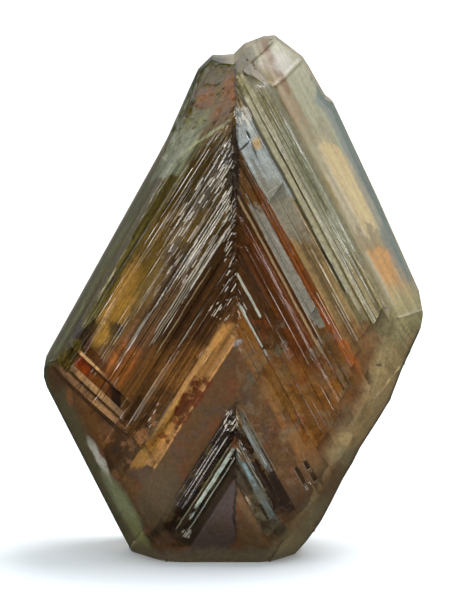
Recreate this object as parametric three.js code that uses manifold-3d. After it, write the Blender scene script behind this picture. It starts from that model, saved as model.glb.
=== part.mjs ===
// A chrysoberyl crystal: two individuals grown together as a V-shaped twin, which makes one kite-shaped plate.
//
// Both faces of the plate carry chevrons. Each individual grew as long laths beside each other, at about 30 degrees
// to the twin seam, so the laths of the left and the right individual meet on the seam and point up. The rim is
// bevelled by long flat faces, the head is broken into a knob and a peak behind it, and the foot is a flat break.
//
// Millimetres. The plate is drawn in x (right), y (up) and z (towards the viewer), and is turned at the end so that
// the part stands on its foot with +Z up and its chevron face towards -Y. Origin: the middle of the box, at the foot.
import * as THREE from "three";
import Module from "manifold-3d";
import { mergeVertices } from "three/addons/utils/BufferGeometryUtils.js";

// Driving dimensions
const FRONT_LEVEL = 4.0; // highest lath on the chevron face, from the middle of the plate
const FRONT_FLOOR = 3.0; // the lower plateau that the chevron laths stand on
const BACK_LEVEL = 4.0; // highest lath on the back
const BACK_FLOOR = 3.4;
const LEFT_ARM = 32; // degrees between the seam and the left individual's laths
const RIGHT_ARM = 28;
const SEAM = 0.05; // the seam is a little right of the middle
const LATH_OVERLAP = 0.03; // how far a lath runs into the next one
const LATH_ROOT = 4; // how far a lath's block goes into the plate
const STEP_LEAN = 0.4; // how far the end faces of the left arm lean back
const PIT_DEPTH = 0.35; // below the lower plateau
const HUGE = 80; // side of the boxes that cut whole faces off

const wasm = await Module();
wasm.setup();

// Solids

function solidOf(geometry) {
  const bare = geometry.index ? geometry.toNonIndexed() : geometry.clone();
  bare.deleteAttribute("normal");
  bare.deleteAttribute("uv");
  const merged = mergeVertices(bare, 1e-5);
  return new wasm.Manifold(
    new wasm.Mesh({
      numProp: 3,
      vertProperties: new Float32Array(merged.attributes.position.array),
      triVerts: new Uint32Array(merged.index.array),
    }),
  );
}

function geometryOf(solid) {
  const mesh = solid.getMesh();
  const geometry = new THREE.BufferGeometry();
  geometry.setAttribute("position", new THREE.BufferAttribute(new Float32Array(mesh.vertProperties), 3));
  geometry.setIndex(new THREE.BufferAttribute(new Uint32Array(mesh.triVerts), 1));
  return geometry.toNonIndexed();
}

const joined = (solids) => solids.reduce((all, next) => all.add(next));

// A straight-sided block with this outline in the plane of the plate, from z = back to z = front.
function prism(outline, back, front) {
  const shape = new THREE.Shape(outline.map(([x, y]) => new THREE.Vector2(x, y)));
  const block = new THREE.ExtrudeGeometry(shape, { depth: front - back, bevelEnabled: false });
  return solidOf(block.translate(0, 0, back));
}

// Everything on the side of a plane that its normal points to, as one big box.
function beyond(point, normal) {
  const box = new THREE.BoxGeometry(HUGE, HUGE, HUGE).translate(0, 0, HUGE / 2);
  const turn = new THREE.Quaternion().setFromUnitVectors(new THREE.Vector3(0, 0, 1), normal.clone().normalize());
  return solidOf(box.applyQuaternion(turn).translate(point.x, point.y, point.z));
}

// What a flat face through three points takes away: all that lies further from the heart of the plate.
const HEART = new THREE.Vector3(0, 9, 0);

function offFacet(points) {
  const plane = new THREE.Plane().setFromCoplanarPoints(...points.map((p) => new THREE.Vector3(...p)));
  if (plane.distanceToPoint(HEART) > 0) plane.negate();
  return beyond(new THREE.Vector3(...points[0]), plane.normal);
}

// Laths

// The point where a chevron line that crosses the seam at this crown height has come down to y, on its arm.
const armAngle = (arm) => THREE.MathUtils.degToRad(arm < 0 ? LEFT_ARM : RIGHT_ARM);
const onLine = (arm, crown, y) => [SEAM + arm * (crown - y) * Math.tan(armAngle(arm)), y];

// One lath of an arm: arm is -1 for the left individual and 1 for the right. It lies between two chevron lines,
// named by their crown heights, from the seam down to y = bottom, and its top leans from height outer at its outer
// edge to height inner at its inner edge. Its end runs along the other individual's laths. It reaches a little way
// into its neighbours, so that they join into one solid.
function lath({ arm, crowns, heights, bottom, side = 1 }) {
  const [upper, lower] = [crowns[0], crowns[1] - LATH_OVERLAP];
  const [own, other] = [Math.tan(armAngle(arm)), Math.tan(armAngle(-arm))];
  const rise = ((upper - lower) * own) / (own + other);
  const outline = [
    [SEAM - arm * LATH_OVERLAP, upper],
    onLine(arm, upper, bottom + rise),
    onLine(arm, lower, bottom),
    [SEAM - arm * LATH_OVERLAP, lower],
  ];
  if (arm > 0) outline.reverse();
  const level = Math.max(...heights);
  const ends = [level - LATH_ROOT, level];
  const block = side > 0 ? prism(outline, ...ends) : prism(outline, -ends[1], -ends[0]);
  const fall = heights[0] - heights[1];
  const [sin, cos] = [Math.sin(armAngle(arm)), Math.cos(armAngle(arm))];
  const normal = new THREE.Vector3(arm * cos, sin, 0).multiplyScalar(-fall);
  normal.z = side * (upper - lower) * sin;
  return block.subtract(beyond(new THREE.Vector3(SEAM, upper, side * heights[0]), normal));
}

// A row of laths from a list of [crown of the outer edge, height outside, height inside, lower end], where each
// lath reaches in to the next one's crown and the last entry only closes the row.
function laths(arm, rows, options = {}) {
  return rows.slice(0, -1).map(([crown, outer, inner, bottom], i) =>
    lath({ arm, crowns: [crown, rows[i + 1][0]], heights: [outer, inner], bottom, ...options }),
  );
}

// The chevron face

const LEFT_FIELD = [
  [21.9, 3.3, 3.36, 5],
  [21.2, 3.46, 3.42, 5],
  [20.5, 3.5, 3.56, 5],
  [19.4, 3.62, 3.6, 5],
  [18.5, 3.7, 3.76, 5],
  [17.7, 3.84, 3.8, 5],
  [16.9, 3.88, 3.94, 5],
  [16.0, 3.86, 3.78, 5],
  [15.0, 3.76, 3.68, 5],
  [14.2],
];

// The laths between the field and the inner ledge run on to the arm's tip, and then stop short one by one on a
// low step.
const LEFT_TIP = [
  [14.2, 3.74, 3.62, 4],
  [13.4, 3.62, 3.56, 4],
  [12.8, 3.56, 3.5, 6.5],
  [12.3, 3.48, 3.44, 7.6],
  [11.9, 3.42, 3.4, 8.9],
  [11.5],
];

const RIGHT_LATHS = [
  [23.4, 3.1, 3.2, 11.0],
  [22.7, 3.34, 3.3, 10.8],
  [22.0, 3.4, 3.47, 10.4],
  [21.2, 3.58, 3.52, 10.0],
  [20.1, 3.98, 3.86, 15.6],
  [18.2, 3.5, 3.44, 8.5],
  [17.5, 3.84, 3.78, 10.9],
  [16.8, 3.7, 3.64, 7.6],
  [16.2, 3.36, 3.42, 7.0],
  [15.0, 3.44, 3.34, 6.2],
  [13.8, 3.36, 3.28, 5.6],
  [12.6, 3.32, 3.22, 5.1],
  [11.4, 3.18, 3.12, 5.3],
  [10.7, 3.14, 3.08, 6.6],
  [10.2, 3.1, 3.04, 8.0],
  [9.6],
];

// Lower steps that carry on below two laths which stop short, and thin laths that stand on the dark middle.
const RIGHT_EXTRAS = [
  { crowns: [20.1, 19.1], heights: [3.66, 3.58], bottom: 9.6 },
  { crowns: [19.1, 18.2], heights: [3.6, 3.48], bottom: 9.0 },
  { crowns: [17.5, 16.8], heights: [3.6, 3.56], bottom: 8.0 },
  { crowns: [15.1, 14.9], heights: [3.58, 3.52], bottom: 9.0 },
  { crowns: [13.4, 13.15], heights: [3.62, 3.56], bottom: 10.9 },
  { crowns: [11.7, 11.45], heights: [3.5, 3.44], bottom: 9.4 },
];

const SMALL_LEFT = [
  [7.1, 3.22, 3.36, 1.5],
  [6.1, 3.6, 3.48, 1.4],
  [5.3, 3.44, 3.28, 1.3],
  [4.5],
];

const SMALL_RIGHT = [
  [6.85, 3.52, 3.42, 4.1],
  [6.3, 3.24, 3.3, 2.4],
  [5.4, 3.54, 3.38, 1.9],
  [4.5, 3.2, 3.28, 1.2],
  [3.7],
];

// The left arm ends in three steps across its laths, each lower than the one before. They run in under the field.
const LEFT_STEPS = [
  { line: [[-7.2, 9.95], [-4.5, 7.25]], height: 3.66 },
  { line: [[-7.75, 9.2], [-4.6, 6.2]], height: 3.4 },
  { line: [[-8.05, 8.8], [-4.4, 5.6]], height: 3.2 },
];
const STEP_INNER_END = [[-4.1, 7.4], [-6.0, 12.5]];
const TIP_STEP = { arm: -1, crowns: [12.8, 11.4], heights: [3.22, 3.2], bottom: 5.0 };

// The broad ledge inside the left arm, which slopes from its last lath down to the plateau.
const INNER_LEDGE = { arm: -1, crowns: [11.5, 9.4], heights: [3.36, 2.9], bottom: 4.2 };

// All that lies below a step's line.
function pastStep({ line: [from, to], height }) {
  const along = new THREE.Vector3(to[0] - from[0], to[1] - from[1], 0).normalize();
  return beyond(new THREE.Vector3(from[0], from[1], height), new THREE.Vector3(along.y, -along.x, STEP_LEAN));
}

function leftArm() {
  const [first, ...lower] = LEFT_STEPS;
  const field = joined(laths(-1, LEFT_FIELD)).subtract(pastStep(first));
  const tip = joined(laths(-1, LEFT_TIP)).subtract(pastStep(lower.at(-1)));
  const steps = lower.map(({ line, height }) => prism([...line, ...STEP_INNER_END], height - LATH_ROOT, height));
  return joined([field, tip, lath(TIP_STEP), ...steps, lath(INNER_LEDGE)]);
}

function rightArm() {
  const extras = RIGHT_EXTRAS.map((extra) => lath({ arm: 1, ...extra }));
  return joined([...laths(1, RIGHT_LATHS), ...extras]);
}

const smallChevron = () => joined([...laths(-1, SMALL_LEFT), ...laths(1, SMALL_RIGHT)]);

// The back

const BACK_LEFT = [
  [22.6, 3.6, 3.72, 8.6],
  [20.6, 3.86, 3.7, 7.6],
  [18.4, 3.9, 4.0, 6.6],
  [16.2, 3.82, 3.66, 5.0],
  [13.6, 3.56, 3.44, 3.4],
  [11.2],
];

const BACK_RIGHT = [
  [23.4, 3.56, 3.66, 9.0],
  [21.6, 3.84, 3.74, 8.0],
  [19.6, 3.7, 3.88, 6.8],
  [17.2, 3.98, 3.84, 5.6],
  [14.8, 3.7, 3.56, 4.2],
  [12.0],
];

const BACK_SMALL = [
  [8.2, 3.48, 3.62, 2.6],
  [7.0, 3.66, 3.5, 2.0],
  [5.8],
];

function backRelief() {
  const side = { side: -1 };
  const arms = [...laths(-1, BACK_LEFT, side), ...laths(1, BACK_RIGHT, side)];
  return joined([...arms, ...laths(-1, BACK_SMALL, side), ...laths(1, BACK_SMALL, side)]);
}

// The body

const OUTLINE = [
  // foot and lower right edge
  [-4.4, 0], [2.55, 0], [3.0, 0.5], [3.65, 1.4], [4.1, 2.3], [4.6, 3.35], [5.0, 4.0], [5.3, 4.65], [6.2, 5.95],
  [6.6, 6.6], [7.02, 7.85], [7.3, 8.5], [7.85, 9.7],
  // right corner and upper right edge
  [7.95, 10.4], [7.83, 11.05], [6.05, 15.1], [4.12, 19.25], [3.8, 19.45], [2.85, 21.1],
  // peak and knob
  [1.7, 22.0], [1.2, 22.0], [0.4, 21.7], [-0.05, 21.16], [-0.55, 21.16], [-0.95, 21.24],
  [-1.55, 20.7], [-1.88, 19.95],
  // upper left edge, left corner
  [-2.84, 17.7], [-3.26, 16.9], [-7.88, 8.55], [-8.05, 8.2], [-8.08, 7.75], [-7.95, 7.25],
];

// Flat faces of the rim, each through three of its points.
const FRONT_FACETS = [
  [[4.1, 19.3, -0.2], [2.92, 17.53, 3.45], [6.18, 11.48, 3.3]], // upper right, the broad clear one
  [[-3.26, 16.9, 2.3], [-7.9, 8.55, 2.3], [-7.52, 8.65, 3.5]], // upper left
  [[-8.0, 7.6, 1.1], [-4.5, 0.3, 0.5], [-3.85, 1.6, 3.0]], // lower left
  [[-4.4, 0, 0.3], [-2.96, 0, 2.2], [-3.5, 1.2, 3.0]], // left end of the foot
  [[-2.96, 0, 2.3], [1.48, 0, 2.3], [-0.8, 1.0, 3.05]], // front of the foot
  [[1.48, 0, 2.3], [3.0, 0.5, 0.7], [2.9, 1.9, 3.0]], // right end of the foot
  [[4.1, 2.3, 0.8], [5.0, 4.0, 0.8], [4.2, 4.1, 3.0]], // lower right
  [[6.2, 5.95, 0.9], [7.0, 7.85, 1.0], [5.95, 6.9, 3.0]],
  [[7.3, 8.5, 1.0], [7.95, 10.4, 0.9], [6.5, 9.7, 3.1]], // right corner
  [[-0.1, 21.2, 2.7], [1.6, 21.55, 2.0], [1.3, 22.05, -0.1]], // front of the peak
  [[3.1, 21.1, 0.1], [1.86, 22.0, 0.0], [2.2, 20.9, 1.5]], // shoulder of the peak
];

const BACK_FACETS = [
  [[7.83, 11.05, -1.2], [4.12, 19.25, -0.9], [3.9, 17.0, -3.5]],
  [[-3.26, 16.9, -1.0], [-7.9, 8.55, -1.0], [-6.3, 9.3, -3.6]],
  [[-8.0, 7.6, -1.2], [-4.5, 0.3, -0.8], [-3.9, 2.2, -3.4]],
  [[-4.4, 0, -0.6], [-3.0, 0, -2.2], [-3.3, 1.4, -3.4]],
  [[-3.0, 0, -2.3], [1.6, 0, -2.2], [-0.8, 1.3, -3.4]],
  [[1.6, 0, -2.2], [3.0, 0.5, -0.8], [2.9, 2.2, -3.4]],
  [[4.1, 2.3, -0.9], [6.6, 6.6, -1.0], [4.3, 4.8, -3.4]],
  [[6.6, 6.6, -1.0], [7.95, 10.4, -1.0], [6.0, 8.2, -3.4]],
  [[1.3, 22.0, -0.9], [-0.1, 21.2, -1.4], [0.9, 20.6, -3.3]],
  [[3.1, 21.1, -0.9], [1.86, 22.0, -0.9], [1.9, 20.2, -3.4]],
  [[-1.0, 21.3, -0.4], [-1.95, 19.95, -0.5], [-0.9, 19.6, -2.9]],
];

function body() {
  const plate = prism(OUTLINE, -BACK_LEVEL, FRONT_LEVEL);
  return [...FRONT_FACETS, ...BACK_FACETS].reduce((solid, facet) => solid.subtract(offFacet(facet)), plate);
}

// The left individual is broken off above its laths: a rough face that falls back to the top of the knob.
const BREAK = [[SEAM, 19.6, 3.62], [-2.96, 17.2, 3.5], [-1.0, 21.2, 1.0]];

function brokenHead() {
  const side = new THREE.BoxGeometry(HUGE, HUGE, HUGE).translate(SEAM - HUGE / 2, 0, 0);
  return offFacet(BREAK).intersect(solidOf(side));
}

// Hollows

// A groove along the upper seam, where the two individuals don't quite close.
const GROOVE = { x: 0.01, width: 0.26, top: 19.3, bottom: 14.9, floor: 3.45 };

function seamGroove() {
  const { x, width, top, bottom, floor } = GROOVE;
  const bar = new THREE.BoxGeometry(width, top - bottom, LATH_ROOT);
  return solidOf(bar.translate(x, (top + bottom) / 2, floor + LATH_ROOT / 2));
}

const PITS = [
  { at: [2.74, 3.85], size: [0.2, 0.85] },
  { at: [3.02, 4.3], size: [0.2, 0.42] },
  { at: [3.3, 3.8], size: [0.22, 0.42] },
];

function pit({ at: [x, y], size: [width, length] }) {
  const slot = new THREE.BoxGeometry(width, length, LATH_ROOT).rotateZ(armAngle(1));
  return solidOf(slot.translate(x, y, FRONT_FLOOR - PIT_DEPTH + LATH_ROOT / 2));
}

// The crystal

function crystal() {
  const thickness = FRONT_FLOOR + BACK_FLOOR;
  const slab = new THREE.BoxGeometry(HUGE, HUGE, thickness).translate(0, 0, (FRONT_FLOOR - BACK_FLOOR) / 2);
  const faces = joined([solidOf(slab), leftArm(), rightArm(), smallChevron(), backRelief()]);
  const hollows = [brokenHead(), seamGroove(), ...PITS.map(pit)];
  return hollows.reduce((solid, hollow) => solid.subtract(hollow), body().intersect(faces));
}

const chrysoberyl = new THREE.MeshStandardMaterial({ color: 0x7a5a38, roughness: 0.12, metalness: 0 });

// Stands the plate up and puts the origin under the middle of its box.
function standing(geometry) {
  const turned = geometry.rotateX(Math.PI / 2);
  turned.computeBoundingBox();
  const middle = turned.boundingBox.getCenter(new THREE.Vector3());
  return turned.translate(-middle.x, -middle.y, -turned.boundingBox.min.z);
}

const mesh = new THREE.Mesh(standing(geometryOf(crystal())), chrysoberyl);
mesh.name = "crystal";

const part = new THREE.Group();
part.add(mesh);

export default part;
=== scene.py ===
# %% [markdown]
# # A chrysoberyl twin
#
# A chrysoberyl crystal the size of a hazelnut, brown and half see-through. Two individuals grew together at
# an angle, so both broad faces carry chevrons of long laths that meet on a seam. The measured solid already
# has the plate, its bevels and every lath. What is left for this file is the skin of the crystal: fine
# growth lines, the rough broken head, worn edges, and the look of stained, cloudy, glassy stone.

# %% The frame
import itertools
import math

import bmesh
import bpy
import numpy as np
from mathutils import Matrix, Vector, noise


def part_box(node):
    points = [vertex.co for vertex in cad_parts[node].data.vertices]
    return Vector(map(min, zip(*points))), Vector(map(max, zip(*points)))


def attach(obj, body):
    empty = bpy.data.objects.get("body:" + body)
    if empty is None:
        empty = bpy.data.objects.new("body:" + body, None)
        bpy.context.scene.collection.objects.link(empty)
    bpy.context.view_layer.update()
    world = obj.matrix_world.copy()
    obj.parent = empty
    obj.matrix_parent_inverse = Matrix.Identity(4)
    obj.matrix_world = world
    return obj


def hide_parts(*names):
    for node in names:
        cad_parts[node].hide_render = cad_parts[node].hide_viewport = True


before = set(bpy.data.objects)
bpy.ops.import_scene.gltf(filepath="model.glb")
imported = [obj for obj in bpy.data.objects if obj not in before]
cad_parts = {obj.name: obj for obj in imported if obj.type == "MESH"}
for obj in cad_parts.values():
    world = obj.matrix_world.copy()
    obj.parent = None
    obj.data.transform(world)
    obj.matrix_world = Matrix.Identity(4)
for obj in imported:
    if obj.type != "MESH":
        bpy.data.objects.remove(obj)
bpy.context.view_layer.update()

MM = 0.001
crystal_low, crystal_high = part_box("crystal")
print("crystal box, mm:", [round(v / MM, 2) for v in crystal_low], [round(v / MM, 2) for v in crystal_high])

# %% [markdown]
# ## Where things are on the crystal
#
# The laths run down and outwards from the seam, at 32 degrees on the left and 28 on the right. A place on a
# face is best named the way the crystal grew: its crown, the height at which its lath's line crosses the
# seam, and its height. All the shape and colour below uses these two numbers.

# %% The chevrons
SEAM_X = 0.115  # mm, the seam in the frame of the solid
ARM_TURN = {"left": math.radians(32), "right": math.radians(28)}
ARM_SIGN = {"left": -1, "right": 1}
FRONT_FLOOR = -3.0  # mm, the depth of the lower plateau on the chevron face
BACK_FLOOR = 3.4


def crown_of(x, z, arm):
    """The height in mm at which the lath through this place would cross the seam."""
    return z + ARM_SIGN[arm] * (x - SEAM_X) / math.tan(ARM_TURN[arm])


# %% [markdown]
# ## Camera
#
# The photograph was taken with a long lens from a little above. The crystal fills nearly all the height of
# the frame, so the camera stands a quarter of a metre away with a narrow lens, ten degrees up.

# %% The camera
FRAME_HEIGHT_MM = 25.4  # what the picture's height covers at the crystal
SENSOR_MM = 24
CAMERA_DISTANCE = 0.25
CAMERA_RISE = math.radians(10)
LOOK_AT = Vector((0.005, 0, 10.85)) * MM

camera = bpy.data.objects.new("camera", bpy.data.cameras.new("camera"))
bpy.context.scene.collection.objects.link(camera)
towards_camera = Vector((0, -math.cos(CAMERA_RISE), math.sin(CAMERA_RISE)))
camera.location = LOOK_AT + towards_camera * CAMERA_DISTANCE
camera.rotation_euler = towards_camera.to_track_quat("Z", "Y").to_euler()
camera.data.sensor_fit = "VERTICAL"
camera.data.sensor_height = SENSOR_MM
camera.data.lens = SENSOR_MM * CAMERA_DISTANCE / (FRAME_HEIGHT_MM * MM)
camera.data.clip_start = 0.01
camera.data.clip_end = 10
bpy.context.scene.camera = camera
print("lens, mm:", round(camera.data.lens, 1))

# %% [markdown]
# ## Short ways to build a material
#
# A material here is a tree of nodes. Typing out each node and link takes many lines, so a small class does
# it. It adds a node and plugs its inputs, does a sum, and makes a smooth step from one value to another. A
# second class makes a group: a tree with named inputs that later trees can use as one node.

# %% Trees of nodes
# A smooth step never leaves its range, so its clamp is off: a clamp is one more node in every mask.
SMOOTH = {"interpolation_type": "SMOOTHSTEP", "clamp": False}
ONE_NUMBER = {"noise_dimensions": "1D"}
TWO_NUMBERS = {"noise_dimensions": "2D"}


class Tree:
    """A tree of nodes, with short ways to add to it."""

    def __init__(self, tree):
        self.tree = tree

    def node(self, kind, settings=None, **plugs):
        """Adds a node. Each plug is a value or another node's output, by socket name with _ for a space."""
        new = self.tree.nodes.new("ShaderNode" + kind)
        for name, value in (settings or {}).items():
            setattr(new, name, value)
        for name, value in plugs.items():
            by_number = name[0] == "i" and name[1:].isdigit()
            socket = new.inputs[int(name[1:]) if by_number else name.replace("_", " ")]
            if isinstance(value, bpy.types.NodeSocket):
                self.tree.links.new(value, socket)
            else:
                socket.default_value = value
        return new

    def sum(self, operation, a, b=0.0, c=0.0):
        """One step of arithmetic."""
        return self.node("Math", {"operation": operation}, i0=a, i1=b, i2=c).outputs[0]

    def vector_sum(self, operation, **plugs):
        """One step of arithmetic on three numbers at once."""
        return self.node("VectorMath", {"operation": operation}, **plugs).outputs

    def step(self, value, start, end, before=0.0, after=1.0):
        """One value before start and another after end, with a smooth slope between."""
        ends = {"From_Min": start, "From_Max": end, "To_Min": before, "To_Max": after}
        return self.node("MapRange", SMOOTH, Value=value, **ends).outputs["Result"]


class Group(Tree):
    """A group of nodes. Its inputs are named with what they are by default, which a vector doesn't need."""

    def __init__(self, name, inputs, outputs):
        super().__init__(bpy.data.node_groups.new(name, "ShaderNodeTree"))
        sockets = self.tree.interface
        for socket_name, default in inputs.items():
            kind = "NodeSocketVector" if default is None else "NodeSocketFloat"
            socket = sockets.new_socket(socket_name, in_out="INPUT", socket_type=kind)
            if default is not None:
                socket.default_value = default
        for socket_name in outputs:
            sockets.new_socket(socket_name, in_out="OUTPUT", socket_type="NodeSocketFloat")
        self.given = self.tree.nodes.new("NodeGroupInput").outputs
        self.made = self.tree.nodes.new("NodeGroupOutput").inputs

    def give(self, name, value):
        """Links a value to an output of the group."""
        self.tree.links.new(value, self.made[name])


# %% [markdown]
# ## Growth lines
#
# On the real crystal every lath is made of finer ones: straight, parallel, each a little different, and
# broken off square here and there. Noise stretched along the laths would look like wood. So one node group
# numbers the laths, and a second one divides them into straight cells. It gives each cell a random tone, and
# a line that is 0 at the cell's sides and 1 in its middle. Every later layer uses them.

# %% The lath number group
lath_lines = Group("lath number", {"Position": None}, ["Lath", "Height"])
place = lath_lines.node("SeparateXYZ", Vector=lath_lines.given["Position"]).outputs
off_seam = lath_lines.sum("SUBTRACT", place["X"], SEAM_X)
right_side = lath_lines.sum("GREATER_THAN", off_seam, 0)
left_steep, right_steep = [1 / math.tan(turn) for turn in ARM_TURN.values()]
steepness = lath_lines.sum("MULTIPLY_ADD", right_side, right_steep - left_steep, left_steep)
crown = lath_lines.sum("MULTIPLY_ADD", lath_lines.sum("ABSOLUTE", off_seam), steepness, place["Z"])
arm_sign = lath_lines.sum("MULTIPLY_ADD", right_side, 2, -1)
lath_lines.give("Lath", lath_lines.sum("MULTIPLY", crown, arm_sign))
lath_lines.give("Height", place["Z"])
print("lath number group:", len(lath_lines.tree.nodes), "nodes")

# %% The growth cells group
WIDTH_CHANGES = 0.6  # how often the cells grow wider and narrower, for each cell
WIDTH_REACH = 1.6  # by how many cells they shift
STRETCH = (0.55, 0.9)  # the least stretch of a strip's cells, and what chance adds
SHIFT = 31.0  # cells that chance shifts a strip along by

growth_cells = Group(
    "growth cells", {"Lath": 0.0, "Height": 0.0, "Across": 1.0, "Along": 1.0, "Seed": 0.0}, ["Tone", "Line"],
)
lath, height, across_size, along_size, seed = list(growth_cells.given)[:5]
number = growth_cells.sum("MULTIPLY", lath, across_size)
uneven = growth_cells.node("TexNoise", ONE_NUMBER, W=number, Scale=WIDTH_CHANGES, Detail=1.0).outputs["Fac"]
shifted = growth_cells.sum("MULTIPLY_ADD", uneven, WIDTH_REACH, seed)
across = growth_cells.sum("MULTIPLY_ADD", lath, across_size, shifted)
strip = growth_cells.sum("FLOOR", across)
chance = growth_cells.node("TexWhiteNoise", ONE_NUMBER, W=strip).outputs["Value"]
stretched = growth_cells.sum("MULTIPLY_ADD", chance, STRETCH[1], STRETCH[0])
stretch = growth_cells.sum("MULTIPLY", along_size, stretched)
along = growth_cells.sum("MULTIPLY_ADD", height, stretch, growth_cells.sum("MULTIPLY", chance, SHIFT))
cell = growth_cells.node("CombineXYZ", X=strip, Y=growth_cells.sum("FLOOR", along)).outputs[0]
growth_cells.give("Tone", growth_cells.node("TexWhiteNoise", TWO_NUMBERS, Vector=cell).outputs["Value"])
within = growth_cells.sum("PINGPONG", across, 0.5)
growth_cells.give("Line", growth_cells.sum("MULTIPLY", within, 2.0))
print("growth cells group:", len(growth_cells.tree.nodes), "nodes")

# %% [markdown]
# ## Zones of colour
#
# The stone isn't one colour. Each lath took up its own impurities as it grew, so most colours come in bands
# between two chevron lines, from one height to another. Iron has also stained patches that follow nothing.
# One group masks a band and one masks a patch. In a band, the laths on the left have negative numbers, so
# one number is enough to say which arm and which lath.

# %% The band group
lath_sockets = {"Lath": 0.0, "Lath Middle": 0.0, "Lath Reach": 1.0, "Lath Edge": 0.1}
height_sockets = {"Height": 0.0, "Height Middle": 0.0, "Height Reach": 1.0, "Height Edge": 0.5}
band_mask = Group("lath band", lath_sockets | height_sockets, ["Mask"])


def near_middle(axis):
    """1 within reach of the middle, falling to 0 over the edge."""
    value, middle, reach, edge = [band_mask.given[axis + part] for part in ("", " Middle", " Reach", " Edge")]
    off = band_mask.sum("ABSOLUTE", band_mask.sum("SUBTRACT", value, middle))
    return band_mask.step(off, reach, band_mask.sum("ADD", reach, edge), 1.0, 0.0)


band_mask.give("Mask", band_mask.sum("MULTIPLY", near_middle("Lath"), near_middle("Height")))
print("band group:", len(band_mask.tree.nodes), "nodes")

# %% The patch group
patch_sockets = {"Position": None, "Centre": None, "Across": None, "Along": None, "Inside": 0.5}
patch_mask = Group("patch", patch_sockets, ["Mask"])
position, centre, *patch_axes, inside = list(patch_mask.given)[:5]
from_centre = patch_mask.vector_sum("SUBTRACT", i0=position, i1=centre)[0]
squares = []
for axis in patch_axes:
    far = patch_mask.vector_sum("DOT_PRODUCT", i0=from_centre, i1=axis)["Value"]
    squares.append(patch_mask.sum("MULTIPLY", far, far))
from_middle = patch_mask.sum("ADD", *squares)  # squared, and 1 on the edge of the patch
patch_mask.give("Mask", patch_mask.step(from_middle, inside, 1.0, 1.0, 0.0))
print("patch group:", len(patch_mask.tree.nodes), "nodes")

# %% [markdown]
# The lists below are the colours as they look on the finished stone, 0 to 255 a channel. On each of them
# light goes through two faces, and each face takes its share. So the shader gets nearly the square of the
# colour that is wanted, eased by what the back of the stone and the body take away by themselves. Laths are
# named by their crowns and places by mm, and each list is by arm where that matters.

# %% Colours wanted on the stone
# Bands on the plate: (low crown, high crown), edge, (bottom, top), fade, strength, colour.
PLATE_BANDS = {"left": {
    "olive field": ((15.2, 22.6), 0.8, (10, 18.6), 1.5, 1, (97, 70, 14)),
    "olive field, top": ((17.6, 21.2), 0.8, (15.6, 17.8), 0.9, 0.8, (60, 44, 6)),
    "brown lined laths": ((11.6, 17.4), 0.6, (4.6, 11.6), 1.6, 1, (116, 74, 32)),
    "dark tip": ((11.5, 13.8), 0.4, (4.2, 7.2), 0.9, 0.9, (60, 38, 18)),
    "grey ripples": ((15.4, 18.2), 0.5, (11, 16.6), 1.2, 0.6, (90, 70, 34)),
    "dark by the seam": ((11.7, 15.2), 0.4, (10, 15), 1.2, 1, (70, 43, 18)),
    "olive lines": ((20.4, 21.3), 0.25, (10, 17.6), 1, 0.6, (112, 102, 60)),
    "olive above amber": ((17.4, 20.2), 0.6, (11.6, 14.2), 1.2, 0.8, (110, 84, 34)),
    "mauve streaks": ((15.6, 17.2), 0.4, (9, 12.6), 1, 0.4, (96, 74, 58)),
    "amber ledge": ((9.7, 11.35), 0.12, (4.4, 10.2), 0.4, 1, (194, 138, 76)),
    "amber ledge, low": ((10.6, 11.35), 0.15, (4.3, 6.4), 0.6, 0.9, (150, 106, 40)),
    "small, dark": ((5.75, 7.1), 0.08, (1.3, 6.7), 0.3, 1, (38, 24, 13)),
    "small, inner": ((3.9, 5.75), 0.08, (1.2, 5), 0.3, 1, (48, 36, 24)),
    "slate between the arms": ((1.2, 3.8), 0.15, (0.6, 3.3), 0.3, 0.8, (80, 70, 70)),
}, "right": {
    "right arm": ((9.7, 18.3), 0.3, (4.6, 17.5), 1, 1, (140, 88, 34)),
    "right arm, brown": ((11.5, 18.3), 0.3, (9, 17.5), 0.8, 1, (108, 72, 34)),
    "right arm, dark": ((11.6, 16.2), 0.35, (9.4, 16.4), 0.8, 1, (78, 46, 17)),
    "right arm, rust": ((14, 16.2), 0.3, (8.6, 13.2), 0.8, 0.7, (108, 56, 20)),
    "right arm, olive": ((11, 13.2), 0.4, (6.2, 8.6), 0.8, 0.6, (120, 84, 38)),
    "inner edge": ((9.7, 10.5), 0.15, (5, 9.2), 0.5, 0.7, (140, 98, 52)),
    "rust lath": ((17.5, 18.3), 0.12, (9.6, 15.6), 0.8, 1, (132, 66, 12)),
    "grey lath": ((18.3, 20.3), 0.08, (9.8, 19.8), 0.8, 1, (150, 122, 80)),
    "grey lath, low": ((18.3, 20.1), 0.1, (8.4, 10.2), 0.8, 0.8, (128, 86, 46)),
    "olive laths": ((20.3, 23.6), 0.15, (9.6, 22.5), 0.8, 1, (126, 117, 84)),
    "olive laths, low": ((20.2, 23.6), 0.3, (9.6, 12.4), 1.2, 0.8, (138, 122, 84)),
    "small": ((5.5, 7.1), 0.08, (2.4, 6.4), 0.4, 1, (40, 24, 14)),
    "small, inner": ((3.6, 5.5), 0.08, (1.4, 5), 0.3, 1, (60, 48, 34)),
}}
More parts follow.
